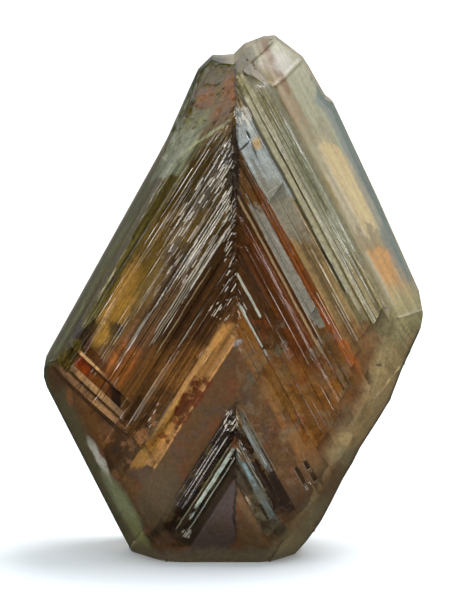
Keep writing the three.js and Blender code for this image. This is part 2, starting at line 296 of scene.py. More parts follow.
# Crisp marks on the laths, in the same form. They lie over the fine lines. Some of them are painted
# reflections and glints.
LATH_MARKS = {"right": {
    # Painted reflection, over the lath's own grey-brown: the silver lath, with its flaws and its low end.
    "silver lath": ((18.1, 20.35), 0.05, (15.9, 19.3), 0.25, 0.9, (180, 184, 178)),
    "silver lath, worn side": ((18.55, 18.75), 0.1, (14.6, 17.2), 0.4, 0.6, (112, 98, 70)),
    "silver lath, dark flaw": ((19.15, 19.2), 0.03, (16.3, 18.7), 0.3, 0.6, (80, 80, 76)),
    "silver lath, light flaw": ((19.66, 19.72), 0.03, (16.6, 19), 0.3, 0.6, (210, 212, 206)),
    "silver lath, low end": ((18.2, 19.95), 0.06, (14.8, 16.2), 1.2, 0.8, (156, 148, 128)),
    "dark line 1": ((20.26, 20.44), 0.06, (12, 19.8), 0.6, 0.9, (38, 32, 22)),
    "light strip 1": ((20.6, 20.88), 0.06, (11.4, 19.6), 0.8, 0.8, (184, 174, 144)),
    "dark line 2": ((21.06, 21.16), 0.05, (10.6, 20), 0.6, 0.7, (52, 48, 30)),
    "light strip 2": ((21.3, 21.5), 0.08, (11, 19), 0.8, 0.4, (136, 130, 98)),
    "dark line 3": ((21.62, 21.66), 0.05, (11.6, 19.4), 0.6, 0.6, (60, 56, 36)),
    "grey-green strip": ((21.85, 22.8), 0.15, (14, 18.4), 0.8, 0.6, (140, 140, 114)),
    "blue-grey lath": ((16.44, 17.42), 0.04, (10.9, 15.2), 0.2, 0.85, (148, 142, 128)),
    "dark beside it": ((16.18, 16.3), 0.06, (9.6, 16.2), 0.4, 0.7, (36, 24, 14)),
    "light line": ((15.86, 16.02), 0.05, (9.2, 16.4), 0.5, 0.8, (176, 146, 108)),
    # Painted glints: thin bright lines along two ledges.
    "bright ledge": ((12.55, 12.72), 0.04, (10.8, 12.6), 0.1, 1, (205, 205, 198)),
    "bright ledge, low": ((11.4, 11.58), 0.04, (9.5, 11.2), 0.1, 1, (205, 205, 198)),
    "inner rust": ((14.9, 15.6), 0.1, (8.6, 14), 0.8, 0.7, (106, 52, 16)),
    "small, outer line": ((7.16, 7.22), 0.03, (4.4, 6.6), 0.3, 0.7, (136, 132, 112)),
    # Painted reflection on a narrow lath of the small chevron.
    "small, silver": ((6.52, 6.92), 0.04, (4.3, 6.2), 0.2, 1, (136, 138, 132)),
    "small, light edge": ((5.46, 5.54), 0.03, (3.2, 5), 0.3, 0.7, (150, 146, 128)),
    "small, teal": ((4.78, 5.3), 0.06, (2.2, 4.7), 0.4, 0.9, (112, 118, 112)),
    "small, teal glint": ((4.95, 5.2), 0.05, (3.5, 4.3), 0.2, 0.8, (150, 176, 176)),
    "small, brown strip": ((2.9, 3.4), 0.1, (1, 2.9), 0.3, 0.8, (118, 88, 58)),
}, "left": {
    # Bundles 1 to 7 are painted highlights: glinting lines near the seam.
    "bundle 1": ((16.12, 16.24), 0.05, (12.8, 16.2), 0.5, 0.8, (234, 226, 200)),
    "bundle 2": ((15.56, 15.6), 0.03, (10.6, 15.4), 0.6, 0.8, (196, 190, 176)),
    "bundle 3": ((15.36, 15.4), 0.03, (9.8, 13), 0.6, 0.7, (180, 166, 140)),
    "bundle 4": ((15.2, 15.24), 0.03, (10, 13.6), 0.6, 0.7, (174, 162, 138)),
    "bundle 5": ((14.98, 15.1), 0.03, (11.8, 14.4), 0.5, 0.75, (228, 218, 190)),
    "bundle 6": ((16.42, 16.46), 0.03, (12, 15.6), 0.6, 0.7, (180, 172, 156)),
    "bundle 7": ((14.54, 14.6), 0.03, (9.6, 12.6), 0.6, 0.6, (166, 146, 112)),
    "ledge light": ((11.15, 11.3), 0.05, (5.6, 9.6), 0.5, 0.5, (190, 158, 104)),
    "ledge foot line": ((9.62, 9.68), 0.04, (5.4, 8.8), 0.4, 0.6, (60, 32, 14)),
    "small, light edge": ((5.66, 5.74), 0.03, (1.8, 5), 0.3, 0.8, (140, 136, 110)),
    # Painted reflection on a narrow lath of the small chevron.
    "small, silver": ((5.16, 5.42), 0.04, (2.6, 4.8), 0.4, 1, (200, 208, 212)),
    "small, dark line": ((4.98, 5.06), 0.03, (1.6, 4.6), 0.3, 0.9, (24, 20, 15)),
    "small, light line": ((4.76, 4.82), 0.03, (1.6, 4.2), 0.3, 0.8, (164, 164, 150)),
}}
# The left arm ends in steps across its laths. These bands are numbered by step: (low, high), edge,
# (left end, right end), fade, strength, colour.
STEP_BANDS = {
    "ground": ((8.3, 10.2), 0.06, (-8.2, -4.75), 0.1, 1, (36, 20, 5)),
    "red": ((9.55, 10.1), 0.15, (-6.65, -5.95), 0.2, 0.95, (138, 52, 4)),
    "brown": ((9.5, 10.05), 0.15, (-5.9, -5.25), 0.2, 0.95, (108, 58, 16)),
    "upper line": ((10.2, 10.34), 0.05, (-7.15, -5), 0.2, 0.85, (130, 102, 76)),
    "upper line, glint": ((10.22, 10.36), 0.05, (-6.6, -5.7), 0.3, 0.9, (220, 172, 116)),
    "above the line": ((10.5, 10.9), 0.15, (-7.3, -5.4), 0.3, 0.85, (80, 38, 6)),
    "grey strip": ((9.12, 9.42), 0.06, (-7.8, -4.7), 0.15, 1, (140, 108, 80)),
    "grey strip, light": ((9.14, 9.42), 0.06, (-6.45, -5.2), 0.3, 0.6, (194, 148, 96)),
    "dark line": ((8.94, 9.02), 0.05, (-7.9, -4.6), 0.15, 0.9, (90, 55, 24)),
    "lower strip": ((8.54, 8.86), 0.06, (-7.9, -4.55), 0.15, 1, (140, 102, 70)),
    "lower strip, light": ((8.56, 8.86), 0.06, (-5.9, -5.2), 0.3, 0.6, (190, 142, 94)),
    "lower line": ((8.36, 8.44), 0.05, (-7.9, -4.5), 0.15, 0.8, (98, 64, 32)),
}
# Bands on the clear bevel, named by lath. A bevel is thin, so it shows its own colour.
RIM_BANDS = {"right": {
    "peak": ((21, 28), 0.3, (17.6, 23), 1.5, 0.9, (190, 198, 166)),
    "olive inner side": ((22, 23.3), 0.35, (10.2, 20.5), 1, 0.9, (142, 132, 88)),
    "olive-yellow stripe": ((22.7, 23.4), 0.25, (15.5, 21), 1, 0.9, (148, 124, 48)),
    "brown stripe": ((23.5, 24.3), 0.3, (18.6, 22.6), 0.8, 0.7, (150, 108, 62)),
    "rust in the stripe": ((24, 24.3), 0.2, (20.4, 22), 0.5, 0.8, (140, 88, 30)),
    "olive across": ((22.6, 25.4), 0.5, (16.9, 18.2), 0.6, 0.6, (150, 144, 108)),
    "pale stripe": ((24.2, 25.2), 0.3, (13.5, 17.4), 1, 0.7, (224, 212, 172)),
    "beige patch": ((24.4, 25.9), 0.2, (14.3, 17.4), 0.4, 0.95, (252, 226, 162)),
    "orange patch": ((23.8, 25.4), 0.2, (11, 13.4), 0.4, 0.95, (234, 158, 68)),
    "olive gap": ((23.4, 25.6), 0.2, (13.5, 14.1), 0.25, 0.8, (144, 126, 84)),
}}
# Bands along the outline of the plate: (inset of the outer side, of the inner side), edge,
# (bottom, top), fade, strength, colour.
OUTLINE_BANDS = {"left": {
    "upper": ((-1, 0.75), 0.3, (8.8, 17.4), 0.6, 1, (84, 70, 20)),
    "dark line": ((0.62, 0.72), 0.08, (12, 16.8), 0.6, 0.4, (36, 28, 6)),
    "pale line": ((0.5, 0.62), 0.08, (10.4, 17.2), 0.6, 0.5, (120, 108, 54)),
    "dark line 2": ((0.28, 0.38), 0.08, (10, 17), 0.6, 0.6, (34, 30, 8)),
    "skin": ((-1, 0.1), 0.1, (8, 21), 0.8, 0.9, (92, 94, 56)),
    "knob": ((0.12, 0.8), 0.3, (17, 18.4), 0.5, 0.6, (146, 150, 122)),
    "dark corner": ((0.35, 1), 0.2, (9.5, 10.5), 0.4, 0.95, (38, 25, 13)),
    "lower": ((-1, 0.5), 0.6, (-1, 7), 0.8, 0.9, (104, 98, 68)),
    "lower skin": ((-1, 0.08), 0.1, (-1, 8.4), 0.5, 0.9, (84, 86, 62)),
}, "right": {
    "slate": ((-1, 0.34), 0.2, (12.2, 17), 1, 0.75, (136, 144, 136)),
    "slate, high": ((-1, 0.3), 0.2, (17.6, 19.6), 0.6, 0.75, (138, 148, 144)),
    "skin": ((-1, 0.14), 0.1, (9.6, 19.8), 0.5, 0.9, (122, 134, 124)),
    "corner": ((-1, 0.9), 0.5, (8.6, 11), 1.6, 0.9, (182, 168, 122)),
    "lower": ((-1, 0.9), 0.9, (4.2, 9), 0.9, 0.9, (188, 160, 110)),
    "low end": ((-1, 0.7), 0.8, (-1, 4.4), 0.9, 0.9, (142, 128, 92)),
    "lower skin": ((-1, 0.08), 0.1, (-1, 9.6), 0.5, 0.9, (96, 92, 66)),
}}
# Glows lie under the fine lines and patches over them: (centre x, height), (half width, half length),
# degrees that it leans to the right, softness, whether its edge is ragged, strength, colour.
GLOWS = {
    "amber": ((-4.95, 11.6), (0.95, 2.2), 30, 0.7, True, 1, (164, 120, 48)),
    "amber, low": ((-5.5, 10.3), (0.55, 1), 20, 0.6, True, 0.9, (172, 128, 56)),
    "orange": ((-4.7, 8.7), (0.75, 1.4), 30, 0.6, True, 0.95, (152, 88, 36)),
    "red spot": ((-6.15, 9.95), (0.22, 0.45), 0, 0.6, True, 0.9, (160, 66, 22)),
    "dark mottle": ((-4.95, 10.3), (0.42, 0.4), 0, 0.6, True, 0.9, (52, 42, 24)),
    "dark corner": ((-6.7, 9.9), (0.5, 0.85), 20, 0.5, True, 0.95, (30, 17, 5)),
    "brown below the ripples": ((-2.5, 13.4), (0.55, 0.8), 30, 0.6, True, 0.7, (66, 48, 34)),
    "right glow": ((3.7, 6.4), (1.3, 2.2), -28, 0.7, True, 0.6, (134, 84, 34)),
    "red end": ((4.9, 9), (0.35, 1), -28, 0.6, True, 0.8, (168, 90, 32)),
}
PATCHES = {
    "dark seam": ((0.03, 17), (0.3, 2.2), 0, 0.4, False, 1, (60, 46, 36)),
    "rust right corner": ((5.7, 9.9), (0.45, 0.9), -25, 0.6, True, 0.6, (140, 90, 48)),
    "low right glow": ((3.7, 3.8), (1.2, 1.7), -30, 0.7, True, 0.8, (118, 84, 52)),
    "grey-brown low left": ((-3.2, 3), (1, 2), 25, 0.7, True, 0.8, (92, 78, 56)),
    # Painted highlight: a soft pale streak along the lower left rim.
    "painted highlight on the lower rim": ((-5.62, 4.4), (0.24, 1.3), -26, 1, True, 1, (216, 222, 204)),
    "green glow on the lower rim": ((-4.7, 2.5), (0.5, 2.2), -29, 1, True, 0.9, (148, 152, 112)),
    "olive glow on the lower rim": ((-4.1, 1.3), (0.4, 1.2), -32, 1, True, 0.8, (134, 136, 84)),
    "orange by the steps": ((-6.9, 7.1), (0.22, 0.55), 0, 0.6, True, 0.8, (160, 104, 56)),
    "brown of the foot": ((0.6, 1.1), (0.5, 0.9), -15, 0.6, True, 0.7, (104, 78, 48)),
    "foot": ((-0.6, 0), (4.6, 0.9), 0, 0.7, True, 0.9, (112, 104, 86)),
    "seam below the small chevron": ((0.1, 2.4), (0.08, 1.7), 0, 0.7, True, 0.9, (40, 30, 20)),
    "dark spot": ((6.07, 8.55), (0.16, 0.13), 0, 0.6, True, 0.8, (70, 66, 54)),
    "wedge line": ((-1.16, 18.3), (0.08, 1.5), 55, 0.7, True, 0.8, (160, 158, 116)),
    "crack 1": ((0.62, 18.5), (0.07, 0.26), -25, 0.5, False, 0.95, (30, 24, 18)),
    "crack 2": ((0.45, 18), (0.07, 0.42), 45, 0.5, False, 0.95, (30, 24, 18)),
    "crack 3": ((0.86, 17.9), (0.06, 0.5), -19, 0.5, False, 0.9, (34, 26, 18)),
    "cream spot": ((0.98, 18.15), (0.27, 0.33), -28, 0.5, True, 0.9, (206, 170, 116)),
    "cross line": ((1.63, 16.2), (0.03, 0.34), 55, 0.6, False, 0.8, (206, 206, 196)),
    "slot 1": ((2.8, 3.85), (0.14, 0.52), -28, 0.4, False, 0.9, (50, 28, 14)),
    "slot 2": ((3.08, 4.3), (0.14, 0.28), -28, 0.4, False, 0.9, (50, 28, 14)),
    "slot 3": ((3.36, 3.8), (0.15, 0.28), -28, 0.4, False, 0.9, (50, 28, 14)),
    "mauve chip": ((0.15, 9.6), (0.28, 0.2), -30, 0.5, True, 0.9, (160, 146, 140)),
}
# Mottled bands: crowns, edge, heights, fade, axis of the noise, (from, to) of its value, strength, colour.
PLATEAU_MOTTLES = {"both": {
    "red on the plateau": ((-12, 12), 1.5, (1, 10), 1.5, "X", (0, 0.12), 0.5, (120, 62, 32)),
    "grey on the plateau": ((-12, 12), 1.5, (0, 8), 1.5, "Z", (0, -0.12), 0.55, (80, 68, 58)),
}, "right": {
    "orange, low right": ((3, 9.6), 0.6, (1.6, 6.4), 0.8, "Y", (0, 0.12), 0.6, (130, 82, 44)),
}}
LATH_MOTTLES = {"left": {
    "orange below the steps": ((11.6, 18.5), 0.6, (2.4, 6.4), 0.8, "X", (0, 0.08), 0.6, (146, 98, 60)),
    "rust on the ledge": ((9.6, 10.9), 0.25, (5.1, 7.9), 0.5, "X", (-0.05, 0.04), 0.95, (108, 20, 0)),
    "dark in the amber": ((16.8, 21.6), 0.6, (8.2, 14), 0.8, "Z", (-0.04, -0.12), 0.7, (70, 50, 26)),
}, "right": {
    "rust of the right arm": ((9.8, 17.6), 0.4, (4.8, 10.4), 1, "X", (0.02, 0.12), 0.6, (124, 58, 20)),
    "dark of the right arm": ((9.8, 16.8), 0.4, (5.6, 12.5), 1, "Z", (-0.02, -0.12), 0.6, (74, 42, 17)),
}}
MARGIN_MOTTLES = {"right": {
    "brown in the margin": ((2, 18.5), 0.6, (0.6, 9.6), 0.8, "Z", (0, 0.1), 0.5, (128, 94, 56)),
    "grey in the margin": ((2, 18.5), 0.6, (0.6, 9.6), 0.8, "Y", (0.02, 0.12), 0.4, (120, 110, 84)),
}, "left": {
    "brown of the lower left": ((2, 12), 0.6, (0.4, 6.4), 0.8, "Y", (0.02, 0.12), 0.5, (78, 62, 36)),
}}
# Patches of the broken head.
HEAD_PATCHES = {
    "head": ((-1.5, 20), (2.3, 2.8), 20, 0.25, True, 1, (92, 74, 20)),
    "wedge": ((-1.7, 18.7), (0.5, 1.9), 55, 0.6, True, 0.8, (116, 112, 66)),
    "iron by the seam": ((-0.1, 20.2), (0.45, 0.8), 15, 0.9, True, 1, (132, 74, 0)),
    "iron, left": ((-1.16, 19.8), (0.42, 0.66), 35, 0.9, True, 1, (126, 72, 0)),
    "iron, low": ((-0.65, 19.3), (0.38, 0.7), 30, 0.9, True, 1, (124, 76, 0)),
    "wedge line": ((-1.16, 18.3), (0.08, 1.5), 55, 0.7, True, 0.8, (170, 168, 124)),
    "brown side of the peak": ((0.8, 20.7), (0.8, 1.7), -25, 0.6, True, 0.9, (112, 94, 44)),
    "mauve in it": ((1.15, 20.4), (0.25, 1.2), -28, 0.9, True, 0.6, (160, 138, 110)),
    # Painted highlight: the white of the peak.
    "painted highlight of the peak": ((2.05, 21.2), (0.5, 0.6), -20, 0.8, True, 0.8, (236, 236, 220)),
    "dark seam of the head": ((0.1, 20.6), (0.12, 0.9), 0, 0.6, True, 0.8, (60, 40, 20)),
}
# Tiny broken facets with painted glints: centre, size, lean, share of them that are bright.
SPARKLES = {
    "head of the seam": ((0.42, 19.25), (0.5, 0.42), 0, 0.6),
    "seam crumbs": ((-0.25, 16), (0.35, 3.4), 0, 0.16),
    "lower seam": ((-0.1, 12.6), (0.35, 2.2), 0, 0.09),
    "crossing": ((-0.2, 11), (1, 0.5), 0, 0.18),
    "small head": ((-0.08, 6.3), (0.4, 0.5), 0, 0.4),
    "small neck": ((0, 4.9), (0.5, 0.35), 0, 0.3),
    "dots on the tip": ((-3.5, 6.5), (0.4, 0.9), 30, 0.12),
    "below the slots": ((3.15, 3.4), (0.26, 0.16), -40, 0.4),
    "left foot of the small chevron": ((-1.92, 1.45), (0.25, 0.3), 0, 0.6),
}
ALL_PLACES = [STEP_BANDS, GLOWS, PATCHES, HEAD_PATCHES, SPARKLES]
MOTTLES = (PLATEAU_MOTTLES, LATH_MOTTLES, MARGIN_MOTTLES)
for by_arm in (PLATE_BANDS, LATH_MARKS, RIM_BANDS, OUTLINE_BANDS, *MOTTLES):
    ALL_PLACES += by_arm.values()
print("places with a colour of their own:", sum(len(rows) for rows in ALL_PLACES))

# %% [markdown]
# ## The stone
#
# Chrysoberyl bends light strongly, at 1.746, and is glossy on a clean face. Light goes through it, so
# transmission is nearly full, and a thin body colour absorbs along the way: the rims stay pale and the
# middle goes brown. The colour zones sit in the surface, where iron oxide fills cracks and steps.
#
# It is one glass in five patterns: the chevron face of each individual, the upper bevels of each, and the
# back. Each pattern has its own shader, and marks on the mesh say which one shows. A renderer skips a shader
# that doesn't show, so five small ones are much quicker than one that works out every layer everywhere.

# %% Colours for the shaders
BODY_SHARE = (0.72, 0.62, 0.50)  # what a clear look through the plate leaves of white light
SHARE_POWER = 1.75
DARK_CHANNEL = 10 / 255  # below it, a channel on screen is simply a share of the light


def screen_colour(*channels):
    """A colour picked on screen, 0 to 255 a channel, as the linear light values that a shader wants."""
    shares = [channel / 255 for channel in channels]
    return tuple(v / 12.92 if v < DARK_CHANNEL else ((v + 0.055) / 1.055) ** 2.4 for v in shares) + (1,)


def stain(*channels):
    """The base colour that makes a face of the plate look like this colour on screen."""
    seen = screen_colour(*channels)
    return tuple(min(1.0, (value / share) ** SHARE_POWER) for value, share in zip(seen, BODY_SHARE)) + (1,)


# %% A pattern of the stone
REFRACTION = 1.746
TRANSMISSION = 0.85  # the rest is cloudy
BUMP = {"Strength": 0.4, "Distance": 0.03 * MM}
SHAKE = {"Scale": 1.1, "Detail": 4, "Roughness": 0.65}  # the noise that makes edges ragged
SHAKE_REACH = 0.6  # mm, for a patch
RAGGED_LATH, RAGGED_HEIGHT, RAGGED_INSET = 0.25, 3.0, 0.15  # mm, for a band
THIN_LINE = (0.3, 0.6)  # how far into a cell a fine line starts, and is full
GRAIN = {"Scale": 5.0, "Detail": 3, "Roughness": 0.8}  # the fine grain of a natural face
GRAIN_STEP = (0.35, 0.65)

stone = bpy.data.materials.new("chrysoberyl_stone")
stone.use_nodes = True
stone.node_tree.nodes.clear()


class Pattern(Tree):
    """One pattern of the stone: where a point is, and the colour as painted so far."""

    def __init__(self, ground, side="right"):
        super().__init__(stone.node_tree)
        self.side = side
        self.sign = ARM_SIGN[side]
        self.colour = ground
        self.find_place()

    def mark(self, name):
        """A value that the mesh carries."""
        return self.node("Attribute", {"attribute_name": name}).outputs["Fac"]

    def find_place(self):
        """Where a point is: in mm, by lath and height, by inset, and shaken by noise for ragged edges."""
        place = self.node("TexCoord").outputs["Object"]
        self.in_mm = self.vector_sum("SCALE", i0=place, Scale=1 / MM)[0]
        self.place = self.node("SeparateXYZ", Vector=self.in_mm).outputs
        lines = self.node("Group", {"node_tree": lath_lines.tree}, Position=self.in_mm).outputs
        self.lath, self.height = lines["Lath"], lines["Height"]
        shake = self.node("TexNoise", Vector=self.in_mm, **SHAKE).outputs["Color"]
        shake = self.vector_sum("SUBTRACT", i0=shake, i1=(0.5, 0.5, 0.5))[0]
        self.shaken = self.vector_sum("MULTIPLY_ADD", i0=shake, i1=(SHAKE_REACH,) * 3, i2=self.in_mm)[0]
        self.shake = self.node("SeparateXYZ", Vector=shake).outputs
        self.ragged_lath = self.sum("MULTIPLY_ADD", self.shake["X"], RAGGED_LATH, self.lath)
        self.ragged_height = self.sum("MULTIPLY_ADD", self.shake["Z"], RAGGED_HEIGHT, self.height)
        self.inset = self.sum("MULTIPLY_ADD", self.shake["Y"], RAGGED_INSET, self.mark("inset"))

    def band(self, pair, edge, heights, fade, number=None, height=None):
        """The mask of a band of laths on this side, or of a band in another number."""
        low, high = pair if number else sorted(self.sign * crown for crown in pair)
        bottom, top = heights
        return self.node(
            "Group", {"node_tree": band_mask.tree},
            Lath=number or self.ragged_lath, Height=height or self.ragged_height,
            Lath_Middle=(low + high) / 2, Lath_Reach=(high - low) / 2, Lath_Edge=edge,
            Height_Middle=(bottom + top) / 2, Height_Reach=(top - bottom) / 2, Height_Edge=fade,
        ).outputs["Mask"]

    def bands(self, places):
        """The masks of several bands as one."""
        whole = 0.0
        for place in places:
            whole = self.sum("MAXIMUM", whole, self.band(*place))
        return whole

    def patch(self, centre, size, lean, softness, is_ragged):
        """The mask of a soft oval patch in the plane of the plate. It leans to the right, in degrees."""
        turn = math.radians(lean)
        return self.node(
            "Group", {"node_tree": patch_mask.tree}, Position=self.shaken if is_ragged else self.in_mm,
            Centre=(centre[0], 0, centre[1]), Across=Vector((math.cos(turn), 0, -math.sin(turn))) / size[0],
            Along=Vector((math.sin(turn), 0, math.cos(turn))) / size[1], Inside=(1 - softness) ** 2,
        ).outputs["Mask"]

    def patches_here(self, table):
        """The patches of a table that reach this side of the seam."""
        return [row for row in table.values() if (row[0][0] - SEAM_X) * self.sign > -max(row[1])]

    def cells(self, across, along, seed):
        """Straight cells along the laths, so many to a millimetre each way."""
        return self.node(
            "Group", {"node_tree": growth_cells.tree}, Lath=self.lath, Height=self.height, Across=across,
            Along=along, Seed=seed,
        ).outputs

    def fine_lines(self, cells, share, place):
        """The middles of a share of the cells, as thin lines."""
        chosen = self.sum("GREATER_THAN", cells["Tone"], 1 - share)
        thin = self.sum("MULTIPLY", chosen, self.step(cells["Line"], *THIN_LINE))
        return self.sum("MULTIPLY", thin, place)

    def paint(self, over, mask, strength=1.0, where=None):
        """A colour over what is there, by a mask, only where another mask allows it."""
        fac = self.sum("MULTIPLY", mask, strength)
        if where is not None:
            fac = self.sum("MULTIPLY", fac, where)
        self.colour = self.node("Mix", {"data_type": "RGBA"}, i0=fac, i6=self.colour, i7=over).outputs[2]

    def paint_bands(self, rows, tint=stain, **numbers):
        """A row of bands, each over the one before."""
        for *band, strength, over in rows:
            self.paint(tint(*over), self.band(*band, **numbers), strength)

    def paint_outline(self, down_to):
        """The bands along the outline of this side that reach above a height."""
        rows = [row for row in OUTLINE_BANDS[self.side].values() if row[2][1] > down_to]
        self.paint_bands(rows, number=self.inset)

    def paint_patches(self, table):
        """The patches of a table, each over the one before."""
        for *patch, strength, over in self.patches_here(table):
            self.paint(stain(*over), self.patch(*patch), strength)

    def paint_mottles(self, table):
        """Blotches inside bands, where the noise goes past a limit."""
        rows = table.get("both", {}) | table.get(self.side, {})
        for *band, axis, limits, strength, over in rows.values():
            self.paint(stain(*over), self.step(self.shake[axis], *limits), strength, self.band(*band))

    def scale(self, low, high, tone, mask=1.0):
        """The colour times a factor from low to high by the tone, where the mask is 1."""
        factor = self.sum("MULTIPLY_ADD", tone, high - low, low - 1)
        factor = self.sum("MULTIPLY_ADD", factor, mask, 1.0)
        self.colour = self.node("HueSaturation", Color=self.colour, Value=factor).outputs[0]

    def add_grain(self, low, high):
        """The fine grain, over all that is painted so far."""
        grain = self.node("TexNoise", Vector=self.in_mm, **GRAIN).outputs["Fac"]
        self.scale(low, high, self.step(grain, *GRAIN_STEP))

    def finish(self, roughness, bumps=None):
        """The glass with this colour. Its bumps are a height from 0 to 1."""
        glass = self.node(
            "BsdfPrincipled", Base_Color=self.colour, Roughness=roughness, IOR=REFRACTION,
            Transmission_Weight=TRANSMISSION,
        )
        if bumps is not None:
            self.tree.links.new(self.node("Bump", Height=bumps, **BUMP).outputs[0], glass.inputs["Normal"])
        return glass.outputs[0]


# %% [markdown]
# ### The chevron faces
#
# The layers go on mostly as they formed: the zones of each lath, iron in the cracks, then the fine lines,
# with painted silver highlights on glossy and rippled laths. Crisp marks, the outline and loose patches lie
# over the lines; some crisp marks are painted reflections and glints. The crevices are painted dark last, as
# painted shade, and the tiny broken facets get painted glints on top.

# %% Where the layers of a chevron face lie
# Crowns, edge, heights and fade of bands: glossy laths with painted silver highlight lines, rippled laths
# with painted highlight lines, and laths with faint lines.
HIGHLIGHT_PLACES = {
    "left": [((14.4, 17.6), 0.5, (10, 18), 1.5), ((13.6, 16.4), 0.6, (6.4, 10), 1.5)],
    "right": [((18.2, 23), 0.4, (9.5, 19), 1.5), ((15.8, 16.4), 0.2, (9, 16.5), 1)],
}
RIPPLES = [
    ((15.2, 17.4), 0.4, (12.4, 16.8), 1), ((17.4, 18.9), 0.4, (14.2, 16.8), 0.8),
    ((17.6, 18.9), 0.4, (16.2, 18.8), 0.8),
]
CALM_PLACES = {"left": ((17.8, 22.6), 0.8, (8, 18), 1.5), "right": ((9.8, 16.8), 0.6, (4, 10.5), 1.5)}
MARGIN = ((-1, 0.9), 0.3, (8, 20), 1)  # beside the outline, by inset

# Cells to a millimetre across and along the laths, and a seed.
BROAD_CELLS, LINE_CELLS, HAIR_CELLS = (1.7, 0.09, 3.0), (4.2, 0.22, 17.0), (9.0, 0.35, 29.0)
DASH_CELLS, CRUMB_CELLS = (10.0, 2.2, 41.0), (9.0, 5.0, 53.0)

LATHS_FROM = (3.03, 3.1)  # mm from the middle of the plate, a soft step from the plateau to the laths
STEP_SLOPE = 0.95  # how steeply the steps at the end of the left arm run down to the right
STEP_START = 7.125  # so that the steps are numbered from about 8 to 10
CALM = 0.55  # the share of the fine lines' contrast that a calm place loses
LATH_ROUGHNESS = 0.05
PLATEAU_ROUGHNESS = 0.3
UNEVEN_ROUGHNESS = 0.1
PLATEAU = (99, 67, 38)
CREVICE_SHADE = (34, 22, 14)
DARK_CRUMB = (26, 20, 14)
CRUMB_GLINT = (226, 222, 206)
DARK_SHARE = 0.35  # of the crumbs
SPOT_SOFTNESS = 0.8
GLINT_STEP = (0.15, 0.4)  # where in a spot's soft edge the glints start, and are full
SILVER_HIGHLIGHT = (206, 198, 178)
RIPPLE_HIGHLIGHT = (236, 226, 190)


# %% The two chevron faces


def paint_steps(stone):
    """The stepped end of the left arm."""
    step = stone.sum("MULTIPLY_ADD", stone.place["X"], STEP_SLOPE, stone.place["Z"])
    step = stone.sum("ADD", step, STEP_START)
    stone.paint_bands(STEP_BANDS.values(), number=step, height=stone.place["X"])


def paint_sparkles(stone):
    """Dark crumbs and painted glints, which are short bits of broken laths: the bright crumbs are painted
    highlights.
    """
    crumbs = stone.cells(*CRUMB_CELLS)
    for *spot, share in stone.patches_here(SPARKLES):
        mask = stone.patch(*spot, SPOT_SOFTNESS, True)
        stone.paint(stain(*DARK_CRUMB), stone.sum("LESS_THAN", crumbs["Tone"], DARK_SHARE), 0.7, mask)
        # Painted highlights: the bright crumbs glint.
        stone.paint(stain(*CRUMB_GLINT), stone.fine_lines(crumbs, share, stone.step(mask, *GLINT_STEP)))


def chevron_face(side):
    """The shader of the chevron face of one individual."""
    stone = Pattern(stain(*PLATEAU), side)
    stone.paint_mottles(PLATEAU_MOTTLES)
    stone.paint_bands(PLATE_BANDS[side].values())
    stone.paint_patches(GLOWS)
    stone.paint_mottles(LATH_MOTTLES)

    far_out = stone.sum("ABSOLUTE", stone.place["Y"])
    on_laths = stone.step(far_out, *LATHS_FROM)
    lively = stone.sum("MULTIPLY_ADD", stone.band(*CALM_PLACES[side]), -CALM, 1.0)
    line_place = stone.sum("MULTIPLY", on_laths, lively)
    broad, lines, hairs, dashes = [
        stone.cells(*kind) for kind in (BROAD_CELLS, LINE_CELLS, HAIR_CELLS, DASH_CELLS)
    ]
    stone.scale(0.6, 1.5, broad["Tone"], line_place)
    stone.scale(0.5, 1.5, lines["Tone"], line_place)
    stone.scale(0.6, 1.4, hairs["Tone"], line_place)
    # Painted highlights: thin silver lines along the glossy laths.
    highlight_place = stone.sum("MULTIPLY", stone.bands(HIGHLIGHT_PLACES[side]), on_laths)
    stone.paint(stain(*SILVER_HIGHLIGHT), stone.fine_lines(hairs, 0.14, highlight_place), 0.75)
    bumps = stone.sum("MULTIPLY", hairs["Line"], stone.sum("MULTIPLY", on_laths, 0.45))
    if side == "left":
        ripples = stone.sum("MULTIPLY", stone.bands(RIPPLES), on_laths)
        stone.scale(0.35, 1.5, dashes["Tone"], ripples)
        # Painted highlights: bright dashes along the rippled laths.
        stone.paint(stain(*RIPPLE_HIGHLIGHT), stone.fine_lines(dashes, 0.2, ripples), 0.9)
        bumps = stone.sum("MULTIPLY_ADD", dashes["Line"], stone.sum("MULTIPLY", ripples, 1.5), bumps)

    stone.paint_bands(LATH_MARKS[side].values())
    if side == "left":
        paint_steps(stone)
    stone.paint_outline(0.0)
    stone.scale(0.7, 1.3, lines["Tone"], stone.band(*MARGIN, number=stone.inset))
    stone.paint_mottles(MARGIN_MOTTLES)
    stone.paint_patches(PATCHES)
    stone.add_grain(0.65, 1.3)
    # Painted shade: the crevices between the laths are darkened.
    stone.paint(stain(*CREVICE_SHADE), stone.mark("crevice"), 0.85)
    paint_sparkles(stone)

    roughness = stone.sum("MULTIPLY_ADD", on_laths, LATH_ROUGHNESS - PLATEAU_ROUGHNESS, PLATEAU_ROUGHNESS)
    return stone.finish(stone.sum("MULTIPLY_ADD", broad["Tone"], UNEVEN_ROUGHNESS, roughness), bumps)


chevron_faces = [chevron_face("left"), chevron_face("right")]
print("with the chevron faces:", len(stone.node_tree.nodes), "nodes")

# %% [markdown]
# ### The rim and the back
#
# The upper bevels are clear and thin: cream to orange stripes on the right, and on the left a narrow edge
# that runs into the broken head, which iron has stained. The back is a wide look through the plate, with
# faint laths of its own.

